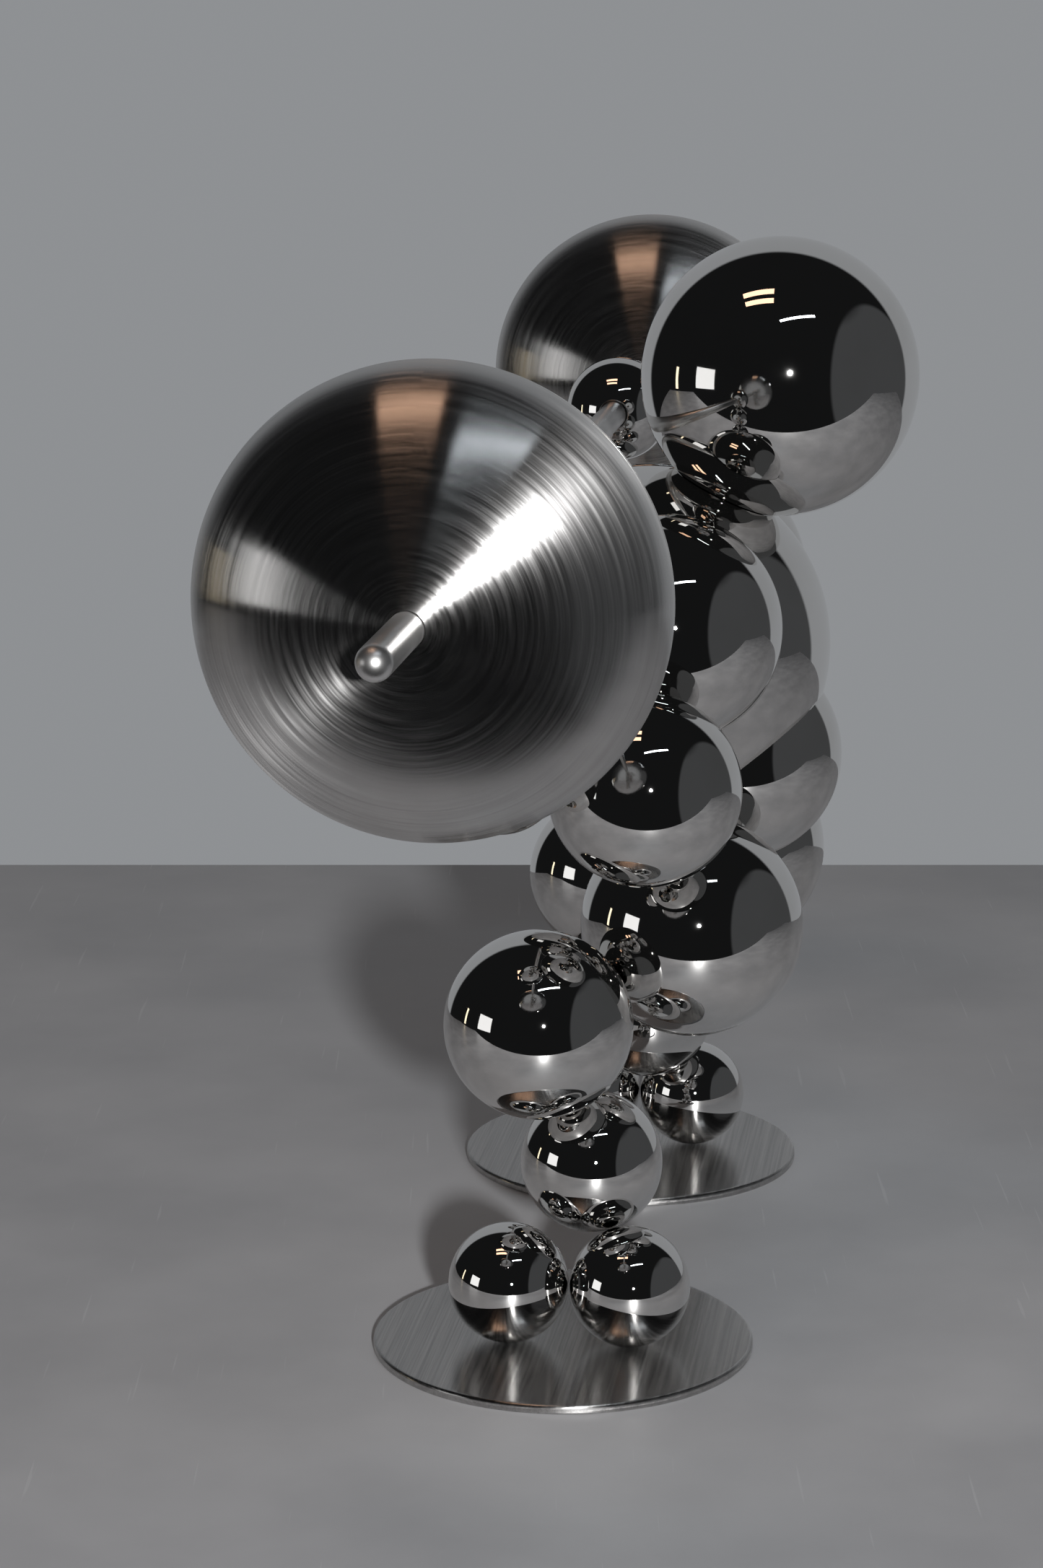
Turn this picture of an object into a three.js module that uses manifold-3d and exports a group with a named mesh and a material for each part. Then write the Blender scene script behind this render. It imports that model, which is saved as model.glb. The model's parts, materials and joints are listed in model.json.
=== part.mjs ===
// Barbell lifter: a desk sculpture of mirror-polished steel balls held together by magnets.
// The figure squats on two round foot plates and holds a bar with a round weight at each end.
// Frame: millimetres, +Z up, +X to the figure's left along the bar, the figure faces -Y.
// The origin is on the table, under the middle of the whole object.

import * as THREE from "three";
import { mergeVertices } from "three/addons/utils/BufferGeometryUtils.js";
import Module from "manifold-3d";

const wasm = await Module();
wasm.setup();

// ---- Driving dimensions ----

const GAP = 0.3; // air between pieces that touch
const WALL = 2; // wall of the hollow balls and of the seats inside the torso
const SOLID_BELOW = 22; // balls with a smaller radius than this are solid
const SOCKET_GAP = 0.5; // air between a ball and the round seat it turns in

const RADIUS = {
  toe: 16,
  heel: 16,
  shin: 19,
  knee: 25,
  hip: 30,
  waist: 30,
  torso: 50,
  shoulder: 30.5,
  elbow: 25,
  wrist: 16,
  forearm: 16,
  hand: 16,
  head: 38,
};

const PLATE_RADIUS = 50.8;
const PLATE_THICKNESS = 2.5;
const PLATE_BEVEL = 0.8;
const PLATE_SPACING = 163; // from the middle of one foot plate to the middle of the other

const BAR_RADIUS = 4;
const BAR_LENGTH = 604;

const WEIGHT_SPACING = 456; // from the middle of one weight to the middle of the other
const WEIGHT_RADIUS = 53;
const WEIGHT_HALF_THICKNESS = 34;
const WEIGHT_WALL = 1.2;
const HUB_RADIUS = 7;
const HUB_LENGTH = 58;

const MAGNET_RADIUS = 4;
const MAGNET_LENGTH = 3;
const MAGNET_DEPTH = 1; // how far a magnet's face lies below the surface of its ball

// ---- Materials ----

const mirror = { color: 0xd6d7d8, roughness: 0.04, metalness: 1 };
const brushed = { color: 0xb9b8b5, roughness: 0.34, metalness: 1 };
const bareSteel = { color: 0x9a9b9d, roughness: 0.4, metalness: 1 };
const nickel = { color: 0xa9a8a2, roughness: 0.28, metalness: 1 };

// ---- Places ----

// A point one step away from another: reach is the length of the step, turn is its direction seen
// from above, in degrees from +X towards +Y, and rise is its angle above level, in degrees.
function step(from, reach, turn, rise) {
  const level = reach * Math.cos(THREE.MathUtils.degToRad(rise));
  const around = THREE.MathUtils.degToRad(turn);
  return new THREE.Vector3(
    from.x + level * Math.cos(around),
    from.y + level * Math.sin(around),
    from.z + reach * Math.sin(THREE.MathUtils.degToRad(rise)),
  );
}

// The centre distance of two balls that touch.
function touching(one, other) {
  return RADIUS[one] + RADIUS[other] + GAP;
}

// The left half of the figure, from the foot up. The right half is its mirror image.
const ballsHeight = PLATE_THICKNESS + GAP + RADIUS.heel;
const heel = new THREE.Vector3(PLATE_SPACING / 2 + 5.5, 18.5, ballsHeight);
const toe = step(heel, touching("heel", "toe"), -88, 0);
const shin = step(heel, touching("heel", "shin"), -142, 56);
const knee = step(shin, touching("shin", "knee"), -48, 67);
const hip = step(knee, touching("knee", "hip"), 135, 20);

// The waist ball rests on both hips, a little behind them.
const waistBehindHip = 7.1;
const waistAboveHip = Math.sqrt(touching("hip", "waist") ** 2 - hip.x ** 2 - waistBehindHip ** 2);
const waist = new THREE.Vector3(0, hip.y + waistBehindHip, hip.z + waistAboveHip);

// The torso is a large shell with round openings that the waist, shoulder and head balls sit in,
// so the next three steps are shorter than the two radii together.
const torso = step(waist, 38.5, -90, 52);
const head = step(torso, 82.6, 90, 65);
const shoulder = step(torso, 49.7, 11.4, 14.7);
const elbow = step(shoulder, touching("shoulder", "elbow"), -1.5, -37.5);
const wrist = step(elbow, touching("elbow", "wrist"), -58, 12);
const forearm = step(wrist, touching("wrist", "forearm"), 7, 75.5);
const hand = step(forearm, touching("forearm", "hand"), 7, 75.5);

// ---- Solids ----

function toSolid(geometry) {
  geometry.deleteAttribute("normal");
  geometry.deleteAttribute("uv");
  const merged = mergeVertices(geometry);
  const vertProperties = new Float32Array(merged.attributes.position.array);
  const triVerts = new Uint32Array(merged.index.array);
  return new wasm.Manifold(new wasm.Mesh({ numProp: 3, vertProperties, triVerts }));
}

function toGeometry(solid) {
  const mesh = solid.getMesh();
  const geometry = new THREE.BufferGeometry();
  geometry.setAttribute("position", new THREE.BufferAttribute(new Float32Array(mesh.vertProperties), 3));
  geometry.setIndex(new THREE.BufferAttribute(new Uint32Array(mesh.triVerts), 1));
  geometry.computeVertexNormals();
  return geometry;
}

// A sphere with its poles on the Z axis, with more facets the larger it is.
function sphere(radius, around = facetsAround(radius)) {
  const geometry = new THREE.SphereGeometry(radius, around, ringsFor(around));
  return geometry.rotateX(Math.PI / 2);
}

function ringsFor(around) {
  return 2 * Math.round((around + 2) / 3.5);
}

// How much larger a faceted sphere has to be for a smooth one to fit inside it.
function clearOfFacets(around, rings) {
  return 1 / (Math.cos(Math.PI / around) * Math.cos(Math.PI / (2 * rings)));
}

function facetsAround(radius) {
  if (radius < SOLID_BELOW) {
    return 10;
  }
  return radius < 40 ? 12 : 20;
}

// A cylinder along a direction, from one distance to another measured from the origin.
function rod(radius, direction, start, end, sides) {
  const geometry = new THREE.CylinderGeometry(radius, radius, end - start, sides);
  geometry.translate(0, (start + end) / 2, 0);
  const turn = new THREE.Quaternion().setFromUnitVectors(new THREE.Vector3(0, 1, 0), direction);
  return geometry.applyQuaternion(turn);
}

// A ball with a drilled pocket for each of its magnets. The larger balls are hollow.
function drilledBall(radius, pocketDirections) {
  let ball = toSolid(sphere(radius));
  if (radius > SOLID_BELOW) {
    ball = ball.subtract(toSolid(sphere(radius - WALL, 8)));
  }
  for (const direction of pocketDirections) {
    const pocket = rod(MAGNET_RADIUS + GAP, direction, radius - 6, radius + 2, 8);
    ball = ball.subtract(toSolid(pocket));
  }
  return ball;
}

// ---- The scene graph ----

const lifter = new THREE.Group();

function add(name, geometry, finish, position = new THREE.Vector3()) {
  const mesh = new THREE.Mesh(geometry, new THREE.MeshStandardMaterial(finish));
  mesh.name = name;
  mesh.position.copy(position);
  lifter.add(mesh);
}

function directionTo(from, to) {
  return new THREE.Vector3().subVectors(to, from).normalize();
}

// Adds a ball at a place, with one magnet facing each place that the ball clings to.
function addBall(name, kind, place, clingsTo, reshape = (solid) => solid) {
  const radius = RADIUS[kind];
  const directions = clingsTo.map((target) => directionTo(place, target));
  add(name, toGeometry(reshape(drilledBall(radius, directions))), mirror, place);
  directions.forEach((direction, index) => {
    const end = radius - MAGNET_DEPTH;
    const disc = rod(MAGNET_RADIUS, direction, end - MAGNET_LENGTH, end, 8);
    const suffix = index === 0 ? "" : "_upper";
    add(`${name}_magnet${suffix}`, disc, nickel, place);
  });
}

function mirrored(place, side) {
  return new THREE.Vector3(side * place.x, place.y, place.z);
}

// ---- Foot plates ----

// A round plate lying on the table, with bevelled rims.
function footPlate() {
  const inner = PLATE_RADIUS - PLATE_BEVEL;
  const profile = [
    [0, 0],
    [inner, 0],
    [PLATE_RADIUS, PLATE_BEVEL],
    [PLATE_RADIUS, PLATE_THICKNESS - PLATE_BEVEL],
    [inner, PLATE_THICKNESS],
    [0, PLATE_THICKNESS],
  ].map(([x, y]) => new THREE.Vector2(x, y));
  return new THREE.LatheGeometry(profile, 28).rotateX(Math.PI / 2);
}

// ---- Torso ----

// Takes a round seat out of a solid centred on the torso, one for each ball that sits in the torso.
function cutSeats(solid, neighbours, around) {
  for (const { place, radius } of neighbours) {
    const seatRadius = (radius + SOCKET_GAP) * clearOfFacets(around, ringsFor(around));
    const offset = new THREE.Vector3().subVectors(place, torso);
    const cutter = sphere(seatRadius, around).translate(offset.x, offset.y, offset.z);
    solid = solid.subtract(toSolid(cutter));
  }
  return solid;
}

// The polished outer shell of the torso.
function torsoShell(neighbours) {
  const hollow = toSolid(sphere(RADIUS.torso - WALL, 12));
  return cutSeats(toSolid(sphere(RADIUS.torso)).subtract(hollow), neighbours, 16);
}

// The cast block inside the shell that the magnets of the neighbouring balls cling to.
function torsoCore(neighbours) {
  return cutSeats(toSolid(sphere(RADIUS.torso - WALL - GAP, 12)), neighbours, 12);
}

// ---- Barbell ----

// A straight rod along X with a half-round end each side.
function bar() {
  const straight = BAR_LENGTH / 2 - BAR_RADIUS;
  const arcSteps = 3;
  const profile = [];
  for (let i = 0; i <= arcSteps; i++) {
    const angle = (Math.PI / 2) * (1 - i / arcSteps);
    profile.push(new THREE.Vector2(BAR_RADIUS * Math.cos(angle), -straight - BAR_RADIUS * Math.sin(angle)));
  }
  profile[0].x = 0;
  const end = profile.map((point) => new THREE.Vector2(point.x, -point.y)).reverse();
  return new THREE.LatheGeometry([...profile, ...end], 10).rotateZ(-Math.PI / 2);
}

// The tube inside a weight that slides on the bar.
function hub() {
  const bore = BAR_RADIUS + GAP;
  const end = HUB_LENGTH / 2;
  const profile = [
    [bore, -end],
    [HUB_RADIUS, -end],
    [HUB_RADIUS, end],
    [bore, end],
    [bore, -end],
  ].map(([x, y]) => new THREE.Vector2(x, y));
  return new THREE.LatheGeometry(profile, 12).rotateZ(-Math.PI / 2);
}

// One spun half of a weight: a shell of half an ellipsoid with a hole for the bar. side is +1 for
// the half towards +X and -1 for the half towards -X.
function weightHalf(side) {
  const bore = BAR_RADIUS + GAP;
  const steps = 4;
  const outer = ellipseArc(WEIGHT_RADIUS, WEIGHT_HALF_THICKNESS, bore, steps);
  const inner = ellipseArc(WEIGHT_RADIUS - WEIGHT_WALL, WEIGHT_HALF_THICKNESS - WEIGHT_WALL, bore, steps);
  const profile = [...inner, ...outer.reverse()];
  profile.push(profile[0].clone());
  return new THREE.LatheGeometry(profile.reverse(), 20).rotateZ((-side * Math.PI) / 2);
}

// Points on a quarter ellipse, from the rim, just clear of the other half, to the bore.
function ellipseArc(radius, height, bore, steps) {
  const last = Math.acos(bore / radius);
  const points = [];
  for (let i = 0; i <= steps; i++) {
    const angle = (last * i) / steps;
    points.push(new THREE.Vector2(radius * Math.cos(angle), GAP / 2 + (height - GAP / 2) * Math.sin(angle)));
  }
  return points;
}

// ---- Assembly ----

for (const [name, side] of [["left", 1], ["right", -1]]) {
  const place = (centre) => mirrored(centre, side);
  const below = (centre) => new THREE.Vector3(side * centre.x, centre.y, 0);
  add(`${name}_foot_plate`, footPlate(), brushed, new THREE.Vector3((side * PLATE_SPACING) / 2, 0, 0));
  addBall(`${name}_toe`, "toe", place(toe), [below(toe)]);
  addBall(`${name}_heel`, "heel", place(heel), [below(heel)]);
  addBall(`${name}_shin`, "shin", place(shin), [place(heel)]);
  addBall(`${name}_knee`, "knee", place(knee), [place(shin)]);
  addBall(`${name}_hip`, "hip", place(hip), [place(knee), waist]);
  addBall(`${name}_shoulder`, "shoulder", place(shoulder), [torso]);
  addBall(`${name}_elbow`, "elbow", place(elbow), [place(shoulder)]);
  addBall(`${name}_wrist`, "wrist", place(wrist), [place(elbow)]);
  addBall(`${name}_forearm`, "forearm", place(forearm), [place(wrist)]);

  // The hand is drilled through for the bar.
  const drilled = (solid) => {
    const reach = RADIUS.hand + 2;
    const grip = rod(BAR_RADIUS + GAP, new THREE.Vector3(1, 0, 0), -reach, reach, 12);
    return solid.subtract(toSolid(grip));
  };
  addBall(`${name}_hand`, "hand", place(hand), [place(forearm)], drilled);

  const middle = new THREE.Vector3((side * WEIGHT_SPACING) / 2, hand.y, hand.z);
  add(`${name}_weight_hub`, hub(), bareSteel, middle);
  add(`${name}_weight_outer`, weightHalf(side), brushed, middle);
  add(`${name}_weight_inner`, weightHalf(-side), brushed, middle);
}

addBall("waist", "waist", waist, [torso]);
addBall("head", "head", head, [torso]);
add("bar", bar(), bareSteel, new THREE.Vector3(0, hand.y, hand.z));

const neighbours = [
  { place: waist, radius: RADIUS.waist },
  { place: head, radius: RADIUS.head },
  { place: shoulder, radius: RADIUS.shoulder },
  { place: mirrored(shoulder, -1), radius: RADIUS.shoulder },
];
add("torso_shell", toGeometry(torsoShell(neighbours)), mirror, torso);
add("torso_core", toGeometry(torsoCore(neighbours)), bareSteel, torso);

// The origin is halfway between the front of the weights and the back of the head.
const front = hand.y - WEIGHT_RADIUS;
const back = head.y + RADIUS.head;
lifter.position.y = -(front + back) / 2;

export default lifter;
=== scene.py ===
"""Looks of the barbell lifter, a desk sculpture of mirror-polished steel balls, around its CAD frame."""

import json
import math

import bmesh
import bpy
import numpy as np
from mathutils import Matrix, Vector


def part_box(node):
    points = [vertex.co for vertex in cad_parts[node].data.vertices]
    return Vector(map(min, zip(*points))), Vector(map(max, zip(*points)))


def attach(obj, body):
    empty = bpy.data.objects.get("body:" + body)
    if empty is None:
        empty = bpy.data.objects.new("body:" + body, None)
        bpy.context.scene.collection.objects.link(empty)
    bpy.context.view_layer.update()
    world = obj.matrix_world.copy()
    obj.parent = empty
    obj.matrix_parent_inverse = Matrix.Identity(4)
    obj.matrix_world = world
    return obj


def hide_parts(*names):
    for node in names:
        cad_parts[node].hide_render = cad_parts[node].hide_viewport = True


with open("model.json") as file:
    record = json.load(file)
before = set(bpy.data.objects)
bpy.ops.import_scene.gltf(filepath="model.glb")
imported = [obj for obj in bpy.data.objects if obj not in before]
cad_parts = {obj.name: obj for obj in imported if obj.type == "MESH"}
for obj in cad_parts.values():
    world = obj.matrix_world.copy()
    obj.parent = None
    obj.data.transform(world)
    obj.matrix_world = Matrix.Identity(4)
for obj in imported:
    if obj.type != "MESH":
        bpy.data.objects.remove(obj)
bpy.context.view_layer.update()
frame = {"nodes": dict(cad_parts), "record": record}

MM = 0.001
SIDES = ("left", "right")

BALL_RADIUS = {
    "toe": 16 * MM,
    "heel": 16 * MM,
    "shin": 19 * MM,
    "knee": 25 * MM,
    "hip": 30 * MM,
    "shoulder": 30.5 * MM,
    "elbow": 25 * MM,
    "wrist": 16 * MM,
    "forearm": 16 * MM,
    "hand": 16 * MM,
    "waist": 30 * MM,
    "head": 38 * MM,
}
MAGNET_RADIUS = 4 * MM
MAGNET_LENGTH = 3 * MM
TORSO_RADIUS = 50 * MM
TORSO_WALL = 2 * MM
CORE_CLEARANCE = 0.3 * MM  # between the torso's shell and the block inside it
CORE_SEAT_GAP = 0.5 * MM
SEAM = 0.15 * MM  # open line around a ball that sits in the torso
BAR_RADIUS = 4 * MM
BAR_CLEARANCE = 0.25 * MM
WEIGHT_WALL = 1.2 * MM


# ---- Reading the frame ----

BODY_OF_NODE = {
    node: body for body, nodes in frame["record"]["behaviour"]["bodies"].items() for node in nodes
}
SLOT_OF_NODE = {part["node"]: part["material_slot"] for part in frame["record"]["subparts"]}


def box_centre(node):
    low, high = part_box(node)
    return (low + high) / 2


def ball_centre(node, radius):
    """The centre of the sphere that a ball's outer vertices lie on, found in ever narrower shells."""
    points = np.array([v.co for v in frame["nodes"][node].data.vertices])
    centre = np.array(box_centre(node))
    for tolerance in (0.08, 0.04, 0.01, 0.002, 0.0005):
        off = np.abs(np.linalg.norm(points - centre, axis=1) - radius)
        outer = points[off < tolerance * radius]
        system = np.column_stack([2 * outer, np.ones(len(outer))])
        centre = np.linalg.lstsq(system, (outer**2).sum(axis=1), rcond=None)[0][:3]
    return Vector(centre)


# ---- Materials ----


class Nodes:
    """A small helper that adds shader nodes to a material and links them."""

    def __init__(self, name):
        self.material = bpy.data.materials.new(name)
        self.material.use_nodes = True
        self.tree = self.material.node_tree
        self.shader = self.tree.nodes["Principled BSDF"]

    def add(self, kind, inputs=None, **settings):
        node = self.tree.nodes.new(kind)
        for key, value in settings.items():
            setattr(node, key, value)
        for key, value in (inputs or {}).items():
            if isinstance(value, bpy.types.NodeSocket):
                self.tree.links.new(value, node.inputs[key])
            else:
                node.inputs[key].default_value = value
        return node

    def feed(self, socket, value):
        self.tree.links.new(value, self.shader.inputs[socket])

    def object_position(self):
        return self.add("ShaderNodeTexCoord").outputs["Object"]

    def noise(self, position, scale, detail=3.0, stretch=(1, 1, 1)):
        placed = self.add("ShaderNodeMapping", {"Vector": position, "Scale": stretch})
        inputs = {"Vector": placed.outputs["Vector"], "Scale": scale, "Detail": detail}
        return self.add("ShaderNodeTexNoise", inputs).outputs["Fac"]

    def spread(self, value, low, high, to_low, to_high):
        inputs = {
            "Value": value,
            "From Min": low,
            "From Max": high,
            "To Min": to_low,
            "To Max": to_high,
        }
        return self.add("ShaderNodeMapRange", inputs).outputs["Result"]

    def between(self, factor, dark, light):
        mix = self.add("ShaderNodeMix", data_type="RGBA")
        mix.inputs["A"].default_value = (*dark, 1)
        mix.inputs["B"].default_value = (*light, 1)
        self.tree.links.new(factor, mix.inputs["Factor"])
        return mix.outputs["Result"]

    def stretch_highlight(self, amount):
        """An anisotropic highlight whose direction follows the mesh's UV map "grain"."""
        self.shader.inputs["Anisotropic"].default_value = amount
        tangent = self.add("ShaderNodeTangent", direction_type="UV_MAP", uv_map="grain")
        self.feed("Tangent", tangent.outputs[0])

    def bump(self, height, distance, strength):
        inputs = {"Height": height, "Distance": distance, "Strength": strength}
        self.feed("Normal", self.add("ShaderNodeBump", inputs).outputs["Normal"])


def mirror_steel():
    """Mirror polish with the faint haze of fingerprints and hairline polishing marks."""
    n = Nodes("mirror_steel")
    position = n.object_position()
    smudges = n.spread(n.noise(position, 38, 4), 0.52, 0.72, 0.0, 1.0)
    n.feed("Base Color", n.between(smudges, (0.80, 0.79, 0.775), (0.75, 0.74, 0.72)))
    n.feed("Roughness", n.spread(smudges, 0, 1, 0.012, 0.045))
    n.shader.inputs["Metallic"].default_value = 1
    n.bump(n.noise(position, 900, 2, (1, 1, 0.15)), 0.002 * MM, 0.25)
    return n.material


def brushed_straight():
    """Foot plate steel with a straight grain along X, darker than the weights."""
    n = Nodes("brushed_straight")
    position = n.object_position()
    grain = n.noise(position, 1, 3, (30, 4200, 4200))
    streaks = n.noise(position, 1, 2, (9, 900, 900))
    tone = n.add("ShaderNodeMath", {0: grain, 1: streaks}, operation="ADD").outputs[0]
    lightness = n.spread(tone, 0.7, 1.3, 0, 1)
    n.feed("Base Color", n.between(lightness, (0.36, 0.355, 0.35), (0.60, 0.59, 0.58)))
    n.feed("Roughness", n.spread(streaks, 0.3, 0.7, 0.2, 0.26))
    n.shader.inputs["Metallic"].default_value = 1
    n.stretch_highlight(0.9)
    n.bump(tone, 0.02 * MM, 0.35)
    return n.material


def brushed_in_circles():
    """Weight steel turned under an abrasive: fine rings about local Z stretch the highlight outwards."""
    n = Nodes("brushed_in_circles")
    position = n.object_position()
    split = n.add("ShaderNodeSeparateXYZ", {"Vector": position})
    x, y = split.outputs["X"], split.outputs["Y"]
    square_x = n.add("ShaderNodeMath", {0: x, 1: x}, operation="MULTIPLY").outputs[0]
    square_y = n.add("ShaderNodeMath", {0: y, 1: y}, operation="MULTIPLY").outputs[0]
    total = n.add("ShaderNodeMath", {0: square_x, 1: square_y}, operation="ADD").outputs[0]
    reach = n.add("ShaderNodeMath", {0: total}, operation="SQRT").outputs[0]
    angle = n.add("ShaderNodeMath", {0: y, 1: x}, operation="ARCTAN2").outputs[0]
    turned = n.add("ShaderNodeCombineXYZ", {"X": reach, "Y": angle}).outputs[0]
    rings = n.noise(turned, 1, 2, (2200, 0.7, 1))
    arcs = n.noise(turned, 1, 3, (800, 1.6, 1))
    tone = n.add("ShaderNodeMath", {0: rings, 1: arcs}, operation="ADD").outputs[0]
    lightness = n.spread(tone, 0.7, 1.3, 0, 1)
    n.feed("Base Color", n.between(lightness, (0.56, 0.55, 0.54), (0.80, 0.79, 0.78)))
    n.feed("Roughness", n.spread(tone, 0.7, 1.3, 0.16, 0.25))
    n.shader.inputs["Metallic"].default_value = 1
    n.stretch_highlight(1)
    n.bump(tone, 0.005 * MM, 0.2)
    return n.material


def satin_steel():
    """Turned bar stock: a satin sheen with fine rings around it."""
    n = Nodes("satin_steel")
    position = n.object_position()
    rings = n.noise(position, 1, 3, (60, 60, 4000))
    cloud = n.noise(position, 60, 3)
    n.feed("Base Color", n.between(rings, (0.74, 0.73, 0.72), (0.86, 0.85, 0.84)))
    n.feed("Roughness", n.spread(cloud, 0.3, 0.7, 0.3, 0.4))
    n.shader.inputs["Metallic"].default_value = 1
    n.bump(rings, 0.01 * MM, 0.3)
    return n.material


def rough_casting():
    """Dark cast iron, hidden inside the torso."""
    n = Nodes("rough_casting")
    position = n.object_position()
    grains = n.noise(position, 500, 5)
    n.feed("Base Color", n.between(grains, (0.10, 0.10, 0.11), (0.24, 0.24, 0.25)))
    n.feed("Roughness", n.spread(grains, 0.3, 0.7, 0.55, 0.75))
    n.shader.inputs["Metallic"].default_value = 1
    n.bump(grains, 0.3 * MM, 0.6)
    return n.material


def nickel_plate():
    """Bright nickel of the small magnets, a little yellow."""
    n = Nodes("nickel_plate")
    position = n.object_position()
    specks = n.noise(position, 900, 4)
    n.feed("Base Color", n.between(specks, (0.60, 0.58, 0.53), (0.70, 0.68, 0.63)))
    n.feed("Roughness", n.spread(specks, 0.3, 0.7, 0.18, 0.3))
    n.shader.inputs["Metallic"].default_value = 1
    return n.material


MATERIAL_OF_SLOT = {
    "mirror_steel": mirror_steel(),
    "plate_steel": brushed_straight(),
    "weight_steel": brushed_in_circles(),
    "bar_steel": satin_steel(),
    "cast_core": rough_casting(),
    "magnet": nickel_plate(),
}


# ---- Meshes ----


def revolved(profile, segments, closed=False):
    """A mesh made by turning a profile of (radius, height) points about Z."""
    mesh = bpy.data.meshes.new("revolved")
    bm = bmesh.new()
    rings = []
    for radius, height in profile:
        if radius < 1e-7:
            rings.append([bm.verts.new((0, 0, height))] * segments)
            continue
        ring = []
        for i in range(segments):
            angle = 2 * math.pi * i / segments
            ring.append(bm.verts.new((radius * math.cos(angle), radius * math.sin(angle), height)))
        rings.append(ring)
    pairs = list(zip(rings, rings[1:]))
    if closed:
        pairs.append((rings[-1], rings[0]))
    for lower, upper in pairs:
        for i in range(segments):
            j = (i + 1) % segments
            corners = [lower[i], lower[j], upper[j], upper[i]]
            distinct = list(dict.fromkeys(corners))
            if len(distinct) > 2:
                bm.faces.new(distinct)
    bmesh.ops.recalc_face_normals(bm, faces=bm.faces)
    bm.to_mesh(mesh)
    bm.free()
    return mesh


def add_radial_uv(mesh):
    """U is the distance from the Z axis and V the angle around it, kept continuous within each face."""
    layer = mesh.uv_layers.new(name="grain")
    for polygon in mesh.polygons:
        middle = math.atan2(polygon.center.y, polygon.center.x)
        for loop in polygon.loop_indices:
            p = mesh.vertices[mesh.loops[loop].vertex_index].co
            reach = math.hypot(p.x, p.y)
            angle = math.atan2(p.y, p.x) if reach > 1e-7 else middle
            angle += 2 * math.pi * round((middle - angle) / (2 * math.pi))
            layer.data[loop].uv = (reach / (100 * MM), angle)


def add_flat_uv(mesh):
    """U and V follow local X and Y."""
    layer = mesh.uv_layers.new(name="grain")
    for loop in mesh.loops:
        p = mesh.vertices[loop.vertex_index].co
        layer.data[loop.index].uv = (p.x / (100 * MM), p.y / (100 * MM))


def smooth(mesh, sharp_degrees=30):
    mesh.shade_smooth()
    mesh.set_sharp_from_angle(angle=math.radians(sharp_degrees))


def arc(radius, start, end, steps, centre=(0, 0)):
    """Points on a circle in the profile's plane. Angles are in degrees above the radius axis."""
    points = []
    for i in range(steps + 1):
        angle = math.radians(start + (end - start) * i / steps)
        points.append((centre[0] + radius * math.cos(angle), centre[1] + radius * math.sin(angle)))
    return points


def piece(node, mesh, centre, axis=Vector((0, 0, 1))):
    """Puts a finished mesh in the place of a CAD node, with local Z along the given axis."""
    obj = bpy.data.objects.new(f"{node}_finish", mesh)
    bpy.context.scene.collection.objects.link(obj)
    turn = Vector((0, 0, 1)).rotation_difference(axis)
    obj.matrix_world = Matrix.Translation(centre) @ turn.to_matrix().to_4x4()
    slot = SLOT_OF_NODE[node]
    mesh.materials.append(MATERIAL_OF_SLOT[slot])
    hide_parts(node)
    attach(obj, BODY_OF_NODE[node])
    return obj


# ---- Balls and their magnets ----


def ball_mesh(radius):
    segments = 96 if radius < 22 * MM else 144
    points = arc(radius, -90, 90, segments // 2)
    points[0] = (0, -radius)
    points[-1] = (0, radius)
    mesh = revolved(points, segments)
    smooth(mesh)
    return mesh


def bored_ball_mesh(radius, bore):
    """A ball with a bore through it along local Z, its rims slightly rounded."""
    rim = 0.35 * MM
    tilt = math.degrees(math.acos((bore + rim) / radius))
    profile = arc(radius, -tilt, tilt, 64)
    top = profile[-1][1]
    profile += arc(rim, 60, 180, 6, (bore + rim, top - rim))
    profile += [(r, -h) for r, h in arc(rim, 180, 60, 6, (bore + rim, top - rim))]
    mesh = revolved(profile, 96, closed=True)
    smooth(mesh)
    return mesh


def magnet_mesh(radius, length):
    bevel = 0.3 * MM
    half = length / 2
    profile = [(0, -half), (radius - bevel, -half), (radius, bevel - half)]
    profile += [(radius, half - bevel), (radius - bevel, half), (0, half)]
    mesh = revolved(profile, 40)
    smooth(mesh)
    return mesh


def add_magnet(node, centre):
    """The disc magnet under a ball's skin, on the line from the ball's centre to its neighbour."""
    middle = box_centre(node)
    piece(node, magnet_mesh(MAGNET_RADIUS, MAGNET_LENGTH), middle, (middle - centre).normalized())


def add_ball(node, kind):
    radius = BALL_RADIUS[kind]
    centre = ball_centre(node, radius)
    if kind == "hand":
        piece(node, bored_ball_mesh(radius, BAR_RADIUS + BAR_CLEARANCE), centre, Vector((1, 0, 0)))
    else:
        piece(node, ball_mesh(radius), centre)
    for name in frame["nodes"]:
        if name.startswith(f"{node}_magnet"):
            add_magnet(name, centre)
    return centre


ball_centres = {}
for side in SIDES:
    for kind in BALL_RADIUS:
        if kind not in ("waist", "head"):
            ball_centres[f"{side}_{kind}"] = add_ball(f"{side}_{kind}", kind)
for kind in ("waist", "head"):
    ball_centres[kind] = add_ball(kind, kind)


# ---- Torso ----

torso_centre = ball_centre("torso_shell", TORSO_RADIUS)
SEATED = {
    "waist": BALL_RADIUS["waist"],
    "head": BALL_RADIUS["head"],
    "left_shoulder": BALL_RADIUS["shoulder"],
    "right_shoulder": BALL_RADIUS["shoulder"],
}


def temporary(mesh, place):
    obj = bpy.data.objects.new("temporary", mesh)
    bpy.context.scene.collection.objects.link(obj)
    obj.location = place
    return obj


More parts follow.
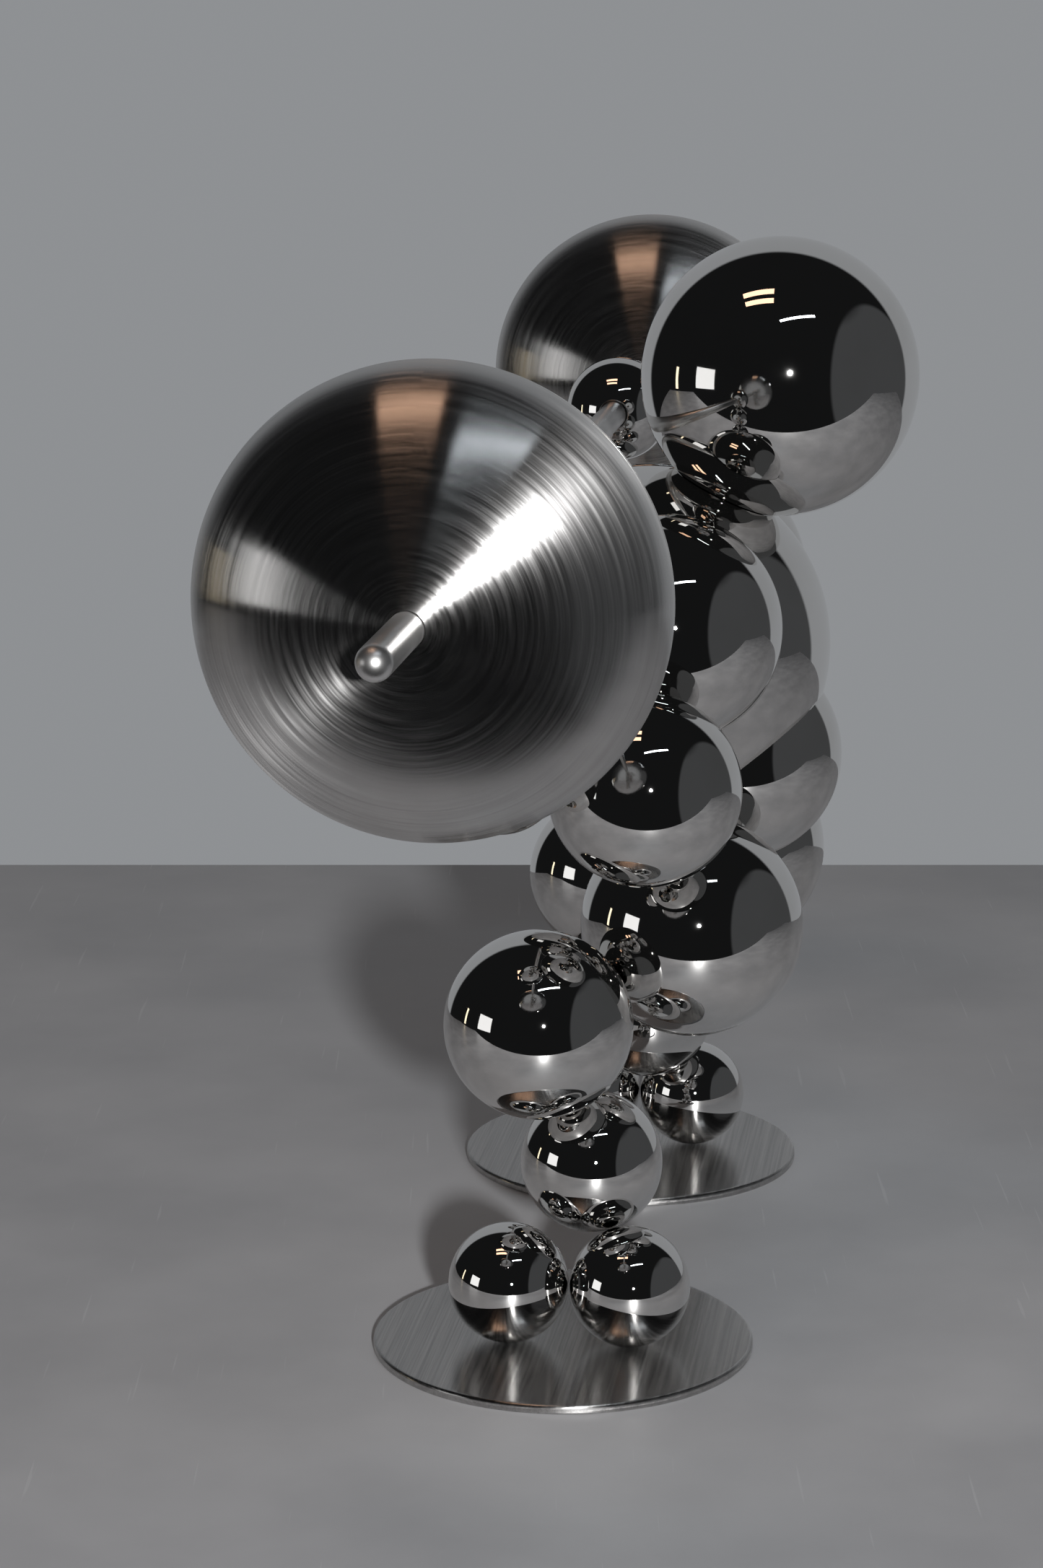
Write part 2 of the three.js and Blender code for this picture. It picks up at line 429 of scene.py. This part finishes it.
def with_seats(mesh, gap):
    """The mesh, centred on the torso, after a round seat is cut for each ball that sits in the torso."""
    body = temporary(mesh, torso_centre)
    cutters = []
    for name, radius in SEATED.items():
        cutter = temporary(ball_mesh(radius + gap), ball_centres[name])
        modifier = body.modifiers.new("seat", "BOOLEAN")
        modifier.operation = "DIFFERENCE"
        modifier.object = cutter
        modifier.solver = "EXACT"
        cutters.append(cutter)
    bpy.context.view_layer.update()
    evaluated = body.evaluated_get(bpy.context.evaluated_depsgraph_get())
    result = bpy.data.meshes.new_from_object(evaluated)
    for obj in [body, *cutters]:
        bpy.data.objects.remove(obj)
    return result


def sphere_normals(mesh, spheres):
    """Gives each face corner the exact normal of the sphere that its face lies on, so reflections stay clean
    beside the cut edges. Spheres are (centre, radius, +1 outside or -1 inside)."""
    normals = [Vector((0, 0, 1))] * len(mesh.loops)
    for polygon in mesh.polygons:

        def misfit(sphere):
            centre, radius, _ = sphere
            corners = (mesh.vertices[v].co for v in polygon.vertices)
            return max(abs((co - centre).length - radius) for co in corners)

        centre, radius, outward = min(spheres, key=misfit)
        for loop in polygon.loop_indices:
            co = mesh.vertices[mesh.loops[loop].vertex_index].co
            normals[loop] = outward * (co - centre).normalized()
    mesh.shade_smooth()
    mesh.normals_split_custom_set(normals)


def seat_spheres(gap):
    return [(ball_centres[name] - torso_centre, radius + gap, -1) for name, radius in SEATED.items()]


def add_torso():
    inner = TORSO_RADIUS - TORSO_WALL
    shell = ball_mesh(TORSO_RADIUS)
    lining = ball_mesh(inner)
    lining.flip_normals()
    bm = bmesh.new()
    bm.from_mesh(shell)
    bm.from_mesh(lining)
    bm.to_mesh(shell)
    bm.free()
    shell = with_seats(shell, SEAM)
    outside = (Vector(), TORSO_RADIUS, 1)
    inside = (Vector(), inner, -1)
    sphere_normals(shell, [outside, inside, *seat_spheres(SEAM)])
    piece("torso_shell", shell, torso_centre)

    core_radius = inner - CORE_CLEARANCE
    core = with_seats(ball_mesh(core_radius), CORE_SEAT_GAP)
    sphere_normals(core, [(Vector(), core_radius, 1), *seat_spheres(CORE_SEAT_GAP)])
    piece("torso_core", core, torso_centre)


add_torso()


# ---- Foot plates ----


def plate_mesh(radius, thickness):
    """A flat disc with rounded edges."""
    round_top = 0.9 * MM
    round_bottom = 0.5 * MM
    profile = [(0, 0), (radius * 0.5, 0)]
    profile += arc(round_bottom, -90, 0, 5, (radius - round_bottom, round_bottom))
    profile += arc(round_top, 0, 90, 8, (radius - round_top, thickness - round_top))
    for share in (0.98, 0.9, 0.75, 0.5, 0.25):
        profile.append(((radius - round_top) * share, thickness))
    profile.append((0, thickness))
    mesh = revolved(profile, 160)
    add_flat_uv(mesh)
    smooth(mesh, 40)
    return mesh


for side in SIDES:
    node = f"{side}_foot_plate"
    low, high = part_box(node)
    base = Vector(((low.x + high.x) / 2, (low.y + high.y) / 2, low.z))
    piece(node, plate_mesh((high.x - low.x) / 2, high.z - low.z), base)


# ---- Barbell ----


def bar_mesh(radius, length):
    straight = length / 2 - radius
    profile = arc(radius, -90, 0, 10, (0, -straight))
    profile += [(radius, straight * share) for share in (-0.5, 0, 0.5)]
    profile += arc(radius, 0, 90, 10, (0, straight))
    profile[0] = (0, -length / 2)
    profile[-1] = (0, length / 2)
    mesh = revolved(profile, 48)
    smooth(mesh)
    return mesh


def hub_mesh(bore, radius, length):
    half = length / 2
    bevel = 0.5 * MM
    profile = [(bore, -half), (radius - bevel, -half), (radius, bevel - half)]
    profile += [(radius, half - bevel), (radius - bevel, half), (bore, half)]
    mesh = revolved(profile, 48, closed=True)
    smooth(mesh)
    return mesh


def weight_half_mesh(radius, height, bore):
    """Half of a hollow flattened ball, spun from sheet, just clear of the other half at the seam."""
    steps = 56
    last = math.acos(bore / radius)
    outer, inner = [], []
    for i in range(steps + 1):
        angle = last * i / steps
        outer.append((radius * math.cos(angle), height * math.sin(angle)))
        inner.append(((radius - WEIGHT_WALL) * math.cos(angle), (height - WEIGHT_WALL) * math.sin(angle)))
    lift = 0.08 * MM
    profile = [(r, max(h, lift)) for r, h in outer + inner[::-1]]
    mesh = revolved(profile, 192, closed=True)
    add_radial_uv(mesh)
    smooth(mesh)
    return mesh


def add_barbell():
    low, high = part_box("bar")
    centre = (low + high) / 2
    along = Vector((1, 0, 0))
    piece("bar", bar_mesh(BAR_RADIUS, high.x - low.x), centre, along)
    for side in SIDES:
        outer_low, outer_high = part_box(f"{side}_weight_outer")
        inner_low, inner_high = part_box(f"{side}_weight_inner")
        middle = (outer_low + outer_high + inner_low + inner_high) / 4
        radius = (outer_high.z - outer_low.z) / 2
        height = max(outer_high.x, inner_high.x) - middle.x
        outward = Vector((math.copysign(1, middle.x), 0, 0))
        bore = BAR_RADIUS + BAR_CLEARANCE
        piece(f"{side}_weight_outer", weight_half_mesh(radius, height, bore), middle, outward)
        piece(f"{side}_weight_inner", weight_half_mesh(radius, height, bore), middle, -outward)
        hub_low, hub_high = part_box(f"{side}_weight_hub")
        hub_radius = (hub_high.z - hub_low.z) / 2
        hub = hub_mesh(bore, hub_radius, hub_high.x - hub_low.x)
        piece(f"{side}_weight_hub", hub, (hub_low + hub_high) / 2, along)


add_barbell()


# ---- Studio ----


def floor_material():
    """Pale painted table top with faint wear and hairline scratches."""
    n = Nodes("pale_table")
    position = n.object_position()
    wear = n.noise(position, 9, 6)
    scratches = n.noise(position, 1, 2, (14, 420, 1))
    marks = n.spread(scratches, 0.69, 0.73, 0, 0.5)
    patches = n.spread(wear, 0.35, 0.7, 0, 1)
    tone = n.add("ShaderNodeMath", {0: patches, 1: marks}, operation="ADD").outputs[0]
    n.feed("Base Color", n.between(tone, (0.50, 0.505, 0.525), (0.66, 0.665, 0.685)))
    n.feed("Roughness", n.spread(wear, 0.3, 0.7, 0.38, 0.5))
    n.bump(wear, 0.2 * MM, 0.2)
    return n.material


def add_floor():
    """A table top from in front of the figure to the wall, with its back edge square to the view."""
    front, back, half_width, thick = 0.33, -0.46, 1.6, 0.04
    bm = bmesh.new()
    bmesh.ops.create_cube(bm, size=1)
    for v in bm.verts:
        v.co.x = front if v.co.x > 0 else back
        v.co.y = half_width * math.copysign(1, v.co.y)
        v.co.z = 0 if v.co.z > 0 else -thick
    bmesh.ops.bevel(bm, geom=bm.edges, offset=0.004, segments=3, affect="EDGES")
    mesh = bpy.data.meshes.new("table_top")
    bm.to_mesh(mesh)
    bm.free()
    smooth(mesh)
    mesh.materials.append(floor_material())
    table = bpy.data.objects.new("table_top", mesh)
    bpy.context.scene.collection.objects.link(table)
    table.rotation_euler.z = CAMERA_TURN - math.pi / 2


def add_room():
    """The room that the steel reflects: a pale wall opposite the camera, a grey one on its right, and the
    rest dark."""
    world = bpy.data.worlds.new("room")
    bpy.context.scene.world = world
    world.use_nodes = True
    tree = world.node_tree
    background = tree.nodes["Background"]
    position = tree.nodes.new("ShaderNodeTexCoord")

    def math_node(operation, *values):
        node = tree.nodes.new("ShaderNodeMath")
        node.operation = operation
        for i, value in enumerate(values):
            if isinstance(value, bpy.types.NodeSocket):
                tree.links.new(value, node.inputs[i])
            else:
                node.inputs[i].default_value = value
        return node.outputs[0]

    split = tree.nodes.new("ShaderNodeSeparateXYZ")
    tree.links.new(position.outputs["Generated"], split.inputs["Vector"])
    x, y, z = split.outputs["X"], split.outputs["Y"], split.outputs["Z"]

    def band(value, low, high):
        node = tree.nodes.new("ShaderNodeMapRange")
        node.interpolation_type = "SMOOTHSTEP"
        tree.links.new(value, node.inputs["Value"])
        node.inputs["From Min"].default_value = low
        node.inputs["From Max"].default_value = high
        return node.outputs["Result"]

    wall = band(math_node("MULTIPLY", x, -1.0), 0.60, 0.66)
    side = math_node("MULTIPLY", band(y, 0.70, 0.74), band(z, 0.75, 0.6))
    wall_light = math_node("MULTIPLY", wall, 0.285)
    side_light = math_node("MULTIPLY", side, 0.05)
    level = math_node("ADD", math_node("MAXIMUM", wall_light, side_light), 0.008)
    tree.links.new(level, background.inputs["Strength"])
    background.inputs["Color"].default_value = (0.93, 0.96, 1.0, 1)


def add_light(name, place, target, size, power, colour, shape="DISK", size_y=None):
    data = bpy.data.lights.new(name, "AREA")
    data.shape = shape
    data.size = size
    if size_y:
        data.size_y = size_y
    data.energy = power
    data.color = colour
    light = bpy.data.objects.new(name, data)
    bpy.context.scene.collection.objects.link(light)
    light.location = place
    light.rotation_euler = (Vector(target) - Vector(place)).to_track_quat("-Z", "Y").to_euler()


CAMERA_PLACE = Vector((1.0139, 0.1082, 0.3636))
CAMERA_TURN = math.radians(98.0)  # azimuth of the view, where 90 looks along -X
CAMERA_DOWN = math.radians(12.6)
CAMERA_LENS = 85.3


def add_camera():
    data = bpy.data.cameras.new("camera")
    data.lens = CAMERA_LENS
    data.sensor_width = 36
    camera = bpy.data.objects.new("camera", data)
    camera.location = CAMERA_PLACE
    camera.rotation_euler = (math.pi / 2 - CAMERA_DOWN, 0, CAMERA_TURN)
    bpy.context.scene.collection.objects.link(camera)
    bpy.context.scene.camera = camera


def add_lights():
    """A small flash behind the camera, three ceiling strips, and a window and a doorway in front of the
    figure."""
    aim = (0, 0, 0.16)
    head = (0, 0, 0.25)
    white = (1, 1, 1)
    add_light("key", (2.0, 0.47, 0.58), aim, 0.1, 37, white)
    for ahead in (0.26, 0.48):
        place = (ahead, -0.3, 1.55)
        below = (ahead, -0.3, 0)
        add_light("warm_strip", place, below, 0.12, 0.4, (1.0, 0.62, 0.42), "RECTANGLE", 0.5)
    add_light("cool_strip", (0.8, 0.4, 1.45), aim, 0.7, 0.9, (0.86, 0.93, 1.0), "RECTANGLE", 0.05)
    add_light("window", (0.83, -1.36, 0.28), head, 0.5, 0.7, white, "RECTANGLE", 0.4)
    add_light("doorway", (0.04, -1.6, 0.21), head, 0.08, 0.15, (1.0, 0.85, 0.6), "RECTANGLE", 0.35)


add_floor()
add_room()
add_lights()
add_camera()
bpy.context.scene.view_settings.view_transform = "Standard"
